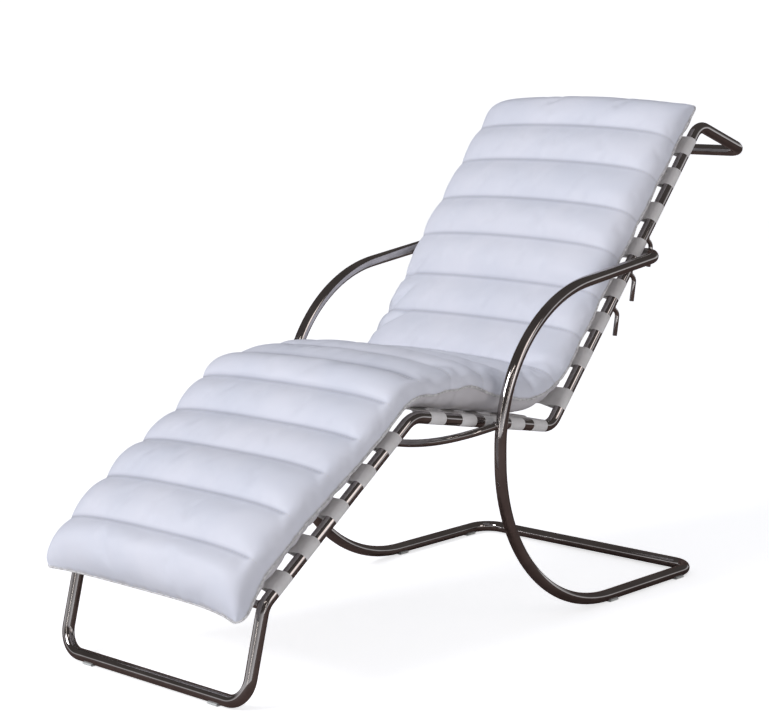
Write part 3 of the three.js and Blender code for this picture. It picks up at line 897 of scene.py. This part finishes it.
leather_gloss = add_node(cushion_leather, "ShaderNodeMapRange", {
    "Value": leather_tone.outputs["Fac"],
    "From Min": 0.3, "From Max": 0.7, "To Min": 0.44, "To Max": 0.56,
})
cushion_leather.node_tree.links.new(
    leather_gloss.outputs["Result"], cushion_shader.inputs["Roughness"]
)
cushion_shader.inputs["Specular IOR Level"].default_value = 0.4
creasing = add_node(cushion_leather, "ShaderNodeTexNoise", {
    "Vector": cushion_at.outputs["Object"], "Scale": 1 / leather_creases, "Detail": 2.0,
    "Distortion": 0.6,
})
crease_share = add_node(cushion_leather, "ShaderNodeMath", {
    0: creasing.outputs["Fac"], 1: beside_seam.outputs["Fac"],
}, operation="MULTIPLY")
crease_bump = add_node(cushion_leather, "ShaderNodeBump", {
    "Height": crease_share.outputs[0], "Strength": 0.35, "Distance": 0.0012,
})
pebbles = add_node(cushion_leather, "ShaderNodeTexVoronoi", {
    "Vector": cushion_at.outputs["Object"], "Scale": 1 / leather_grain,
}, feature="F1")
grain_bump = add_node(cushion_leather, "ShaderNodeBump", {
    "Height": pebbles.outputs["Distance"], "Strength": 0.18, "Distance": 0.0003,
    "Normal": crease_bump.outputs["Normal"],
})
cushion_leather.node_tree.links.new(grain_bump.outputs["Normal"], cushion_shader.inputs["Normal"])

# The sewn pad is swollen from inside, held along its channels, its edge and its bottom panel.
pad = new_piece("cushion_pad", bm, cushion_leather)
pad.vertex_groups.new(name="sewn")
before = [v.co.copy() for v in pad.data.vertices]
cloth = pad.modifiers.new("stuffing", "CLOTH")
cloth.settings.quality = 5
cloth.settings.mass = 0.3
cloth.settings.tension_stiffness = 20
cloth.settings.compression_stiffness = 20
cloth.settings.shear_stiffness = 8
cloth.settings.bending_stiffness = 1.2
cloth.settings.air_damping = 2
cloth.settings.vertex_group_mass = "sewn"
cloth.settings.pin_stiffness = 1
cloth.settings.use_pressure = True
cloth.settings.uniform_pressure_force = 4
cloth.settings.shrink_min = -0.008
cloth.settings.effector_weights.gravity = 0
cloth.collision_settings.use_collision = False
for moment in range(1, swell_frames + 1):
    bpy.context.scene.frame_set(moment)
swollen = pad.evaluated_get(bpy.context.evaluated_depsgraph_get()).data
after = [v.co.copy() for v in swollen.vertices]
pad.modifiers.remove(cloth)
bpy.context.scene.frame_set(1)
side_shares = [point.value for point in pad.data.attributes["across"].data]
for vert, start, end, share in zip(pad.data.vertices, before, after, side_shares):
    move = end - start
    cap = swell_cap * (1 - side_hold * abs(share) ** 4)
    if move.length > cap:
        move = move.normalized() * cap
    vert.co = start + move

# Pleats and folds: stitching gathers the leather into small pleats along the channels, and it folds
# where the pad bends at the seat and the hip. They are pressed into the pad once it is swollen.
# Each fold is a start and an end, as distance and share of the half width, a depth and a width.
pleat_depth = 0.0016
pleat_reach = 0.020
pleat_spacing = 0.030
lump_depth = 0.0016
lumps_per_metre = (9, 11)
pleat_start = 0.006
wrinkle_depth = 0.004
wrinkles_per_metre = 22.0
seam_shade_reach = 0.006
seam_line_width = 0.002
fold_start = (-0.2, 0.15)
fold_end = (0.5, 1.2)
folds = [
    ((0.700, 0.97), (0.640, 0.55), 0.004, 0.014),
    ((0.745, 0.97), (0.830, 0.60), 0.004, 0.015),
    ((0.930, 0.96), (1.010, 0.62), 0.005, 0.016),
    ((1.060, 0.97), (1.000, 0.50), 0.004, 0.016),
    ((1.090, -0.97), (1.160, -0.66), 0.009, 0.011),
    ((1.150, -0.97), (1.215, -0.70), 0.008, 0.010),
    ((1.235, -0.97), (1.290, -0.72), 0.007, 0.010),
    ((0.690, -0.97), (0.650, -0.60), 0.004, 0.014),
    ((0.920, -0.96), (1.000, -0.60), 0.004, 0.015),
]


def fold_depth(distance, share):
    depth = 0
    place = Vector((distance, share * cushion_half))
    for (s0, x0), (s1, x1), deep, wide in folds:
        start = Vector((s0, x0 * cushion_half))
        run = Vector((s1, x1 * cushion_half)) - start
        along = (place - start).dot(run) / run.length_squared
        if fold_start[0] < along < fold_end[1]:
            off = (place - start - run * along).length
            taper = smooth(along, *fold_start) * (1 - smooth(along, *fold_end))
            depth += deep * taper * math.exp(-(off / wide) ** 2)
    return depth


subdivision = pad.modifiers.new("finer", "SUBSURF")
subdivision.levels = subdivision.render_levels = 1
fine = bpy.data.meshes.new_from_object(pad.evaluated_get(bpy.context.evaluated_depsgraph_get()))
pad.modifiers.remove(subdivision)
pad.data = fine
along_at, across_at, top_at, edge_at = (
    [point.value for point in fine.attributes[name].data]
    for name in ("along", "across", "top", "edge_run")
)
normals = [v.normal.copy() for v in fine.vertices]
# The nearness to a seam sets where painted shade darkens the leather and where the creasing bump is
# strongest.
seam_nearness = fine.attributes.new("seam_nearness", "FLOAT", "POINT")
for i, vert in enumerate(fine.vertices):
    distance, share, to_edge = along_at[i], across_at[i], edge_at[i]
    sideways = share * cushion_half
    to_channel = min(abs(distance - c) for c in channels)
    beside_channel = math.exp(-to_channel / seam_shade_reach) * channel_hold(distance, share)
    seam_nearness.data[i].value = max(beside_channel, math.exp(-to_edge / seam_shade_reach))
    if to_edge < seam_line_width:
        continue
    if top_at[i] < 0.5:
        fold = abs(noise.noise(Vector((distance * wrinkles_per_metre, share * 3, 5.2))))
        vert.co -= normals[i] * wrinkle_depth * (1 - fold) ** 4 * smooth(abs(share), 0.75, 0.9)
        continue
    reach = math.exp(-min(to_channel, to_edge) / pleat_reach) * smooth(to_channel, 0, pleat_start)
    wave = noise.noise(Vector((sideways / pleat_spacing, distance * 7, 3.1)))
    wave += 0.5 * noise.noise(Vector((sideways / pleat_spacing * 2.3, distance * 9, 8.4)))
    lump = noise.noise(Vector((sideways * lumps_per_metre[0], distance * lumps_per_metre[1], 1.7)))
    sink = pleat_depth * wave * reach
    sink += lump_depth * lump * (1 - reach) * smooth(to_channel, 0, pleat_reach)
    vert.co -= normals[i] * (sink + fold_depth(distance, share))
fine.shade_smooth()
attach(pad, "lounge_frame")
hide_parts("cushion")

# Piping: a thin cord in pale leather sewn in between the two panels, all the way round the edge,
# its ends butted at the foot.
piping_radius = 0.0023
piping_sides = 10
piping_speck_size = 1 / 120
edge_path = (
    [(row, 1.0) for row in rows]
    + [(cushion_length, share) for share in across[-2::-1]]
    + [(row, -1.0) for row in reversed(rows[:-1])]
    + [(0.0, share) for share in across[1:-1]]
)
path = [cushion_point(distance, share, 1) for distance, share in edge_path]

# Thin dyed leather, stretched over the cord: satin and a little mottled.
piping_leather = new_material("pale_piping_leather")
piping_shader = piping_leather.node_tree.nodes["Principled BSDF"]
piping_at = add_node(piping_leather, "ShaderNodeTexCoord")
piping_tone = add_node(piping_leather, "ShaderNodeTexNoise", {
    "Vector": piping_at.outputs["Object"], "Scale": 1 / piping_speck_size, "Detail": 2.0,
})
piping_colour = add_node(piping_leather, "ShaderNodeValToRGB", {"Fac": piping_tone.outputs["Fac"]})
piping_colour.color_ramp.elements[0].position = 0.35
piping_colour.color_ramp.elements[0].color = linear("c0bebc")
piping_colour.color_ramp.elements[1].position = 0.65
piping_colour.color_ramp.elements[1].color = linear("e4e3e1")
piping_leather.node_tree.links.new(
    piping_colour.outputs["Color"], piping_shader.inputs["Base Color"]
)
piping_shader.inputs["Roughness"].default_value = 0.5

bm = bmesh.new()
poses = []
for before, place, after in zip(path[-1:] + path, path + path[:1], path[1:] + path[:2]):
    heading = (after - before).normalized()
    outward = heading.cross(Vector((0, 0, 1))).normalized()
    poses.append(pose_at(place, outward, heading.cross(outward), heading))
draw_through(bm, poses, piping_radius, piping_sides)
close_up(bm)
piping = new_piece("cushion_piping", bm, piping_leather)
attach(piping, "lounge_frame")

# Stitching: white waxed thread, sewn by machine along every channel and beside the piping. Each
# stitch is a small bead, a little sunk in the leather.
stitch_pitch = 0.0075
stitch_length = 0.0050
stitch_radius = 0.00055
thread_twist = 1 / 900
edge_share = (across[-1] + across[-2]) / 2
edge_row = (rows[0] + rows[1]) / 2
seam_lines = []
for key_at, value, order_at in (
    [(along_at, c, across_at) for c in channels]
    + [(across_at, sign * edge_share, along_at) for sign in (1, -1)]
    + [(along_at, value, across_at) for value in (edge_row, cushion_length - edge_row)]
):
    line = sorted(
        (order_at[i], i) for i, on_panel in enumerate(top_at)
        if on_panel > 0.5 and abs(key_at[i] - value) < same_place
        and (key_at is across_at or across_at[i] < run_out_shares[1] or not leg_side(value, 1))
    )
    seam_lines.append([fine.vertices[i].co + normals[i] * stitch_radius / 2 for _, i in line])

# Twisted thread, waxed: a dull sheen, lighter and darker along the twist.
thread = new_material("waxed_white_thread")
thread_shader = thread.node_tree.nodes["Principled BSDF"]
thread_at = add_node(thread, "ShaderNodeTexCoord")
thread_tone = add_node(thread, "ShaderNodeTexNoise", {
    "Vector": thread_at.outputs["Object"], "Scale": 1 / thread_twist,
})
thread_colour = add_node(thread, "ShaderNodeValToRGB", {"Fac": thread_tone.outputs["Fac"]})
thread_colour.color_ramp.elements[0].color = linear("c9c8c6")
thread_colour.color_ramp.elements[1].color = linear("f2f1ef")
thread.node_tree.links.new(thread_colour.outputs["Color"], thread_shader.inputs["Base Color"])
thread_shader.inputs["Roughness"].default_value = 0.6

bm = bmesh.new()
for line in seam_lines:
    walked = 0.0
    for start, end in zip(line, line[1:]):
        step = end - start
        if step.length < same_place:
            continue
        while walked < step.length:
            bmesh.ops.create_icosphere(
                bm, subdivisions=1, radius=1,
                matrix=pointing(start + step * (walked / step.length), step)
                @ Matrix.Diagonal((stitch_radius, stitch_radius, stitch_length / 2, 1)),
            )
            walked += stitch_pitch
        walked -= step.length
bmesh.ops.recalc_face_normals(bm, faces=bm.faces)
stitches = new_piece("cushion_stitches", bm, thread)
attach(stitches, "lounge_frame")

# Glides: moulded saddles of frosted plastic that keep the steel off the floor. They clip under the
# floor runners and the foot bar, each with a flat sole.
glide_wall = 0.004
glide_length = 0.026
glide_wrap = math.radians(46)
glide_gap = 0.0002
glide_round = 0.0006
glide_steps = 20
glide_cloud_size = 1 / 90

# Moulded plastic with a frosted skin: pale, half dull and faintly cloudy.
clear_plastic = new_material("frosted_plastic")
glide_shader = clear_plastic.node_tree.nodes["Principled BSDF"]
glide_shader.inputs["Roughness"].default_value = 0.35
glide_at = add_node(clear_plastic, "ShaderNodeTexCoord")
glide_tone = add_node(clear_plastic, "ShaderNodeTexNoise", {
    "Vector": glide_at.outputs["Object"], "Scale": 1 / glide_cloud_size,
})
glide_colour = add_node(clear_plastic, "ShaderNodeValToRGB", {"Fac": glide_tone.outputs["Fac"]})
glide_colour.color_ramp.elements[0].color = linear("c9ccc8")
glide_colour.color_ramp.elements[1].color = linear("dfe1dd")
clear_plastic.node_tree.links.new(glide_colour.outputs["Color"], glide_shader.inputs["Base Color"])

for place in ("front", "rear", "foot"):
    for side in ("left", "right"):
        low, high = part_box(f"glide_{place}_{side}")
        middle = (low + high) / 2
        bm = bmesh.new()
        section = bmesh.ops.create_grid(bm, x_segments=1, y_segments=1, size=0.5)["verts"]
        bmesh.ops.scale(bm, verts=section, vec=(glide_wall, glide_length, 1))
        bmesh.ops.translate(bm, verts=section, vec=(tube_radius + glide_gap + glide_wall / 2, 0, 0))
        start_turn = Matrix.Rotation(math.pi / 2 - glide_wrap, 3, "Y")
        bmesh.ops.rotate(bm, verts=section, cent=(0, 0, 0), matrix=start_turn)
        bmesh.ops.spin(
            bm, geom=bm.faces[:], cent=(0, 0, 0), axis=(0, 1, 0), angle=2 * glide_wrap,
            steps=glide_steps,
        )
        for vert in bm.verts:
            vert.co.z = max(vert.co.z, -floor_height)
        close_up(bm)
        ease_edges(bm, glide_round)
        if place == "foot":
            across_bar = Matrix.Rotation(math.pi / 2, 3, "Z")
            bmesh.ops.rotate(bm, verts=bm.verts, cent=(0, 0, 0), matrix=across_bar)
        bmesh.ops.translate(bm, verts=bm.verts, vec=(middle.x, middle.y, floor_height))
        glide = new_piece(f"glide_saddle_{place}_{side}", bm, clear_plastic)
        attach(glide, "lounge_frame" if place == "foot" else "base")
        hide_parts(f"glide_{place}_{side}")
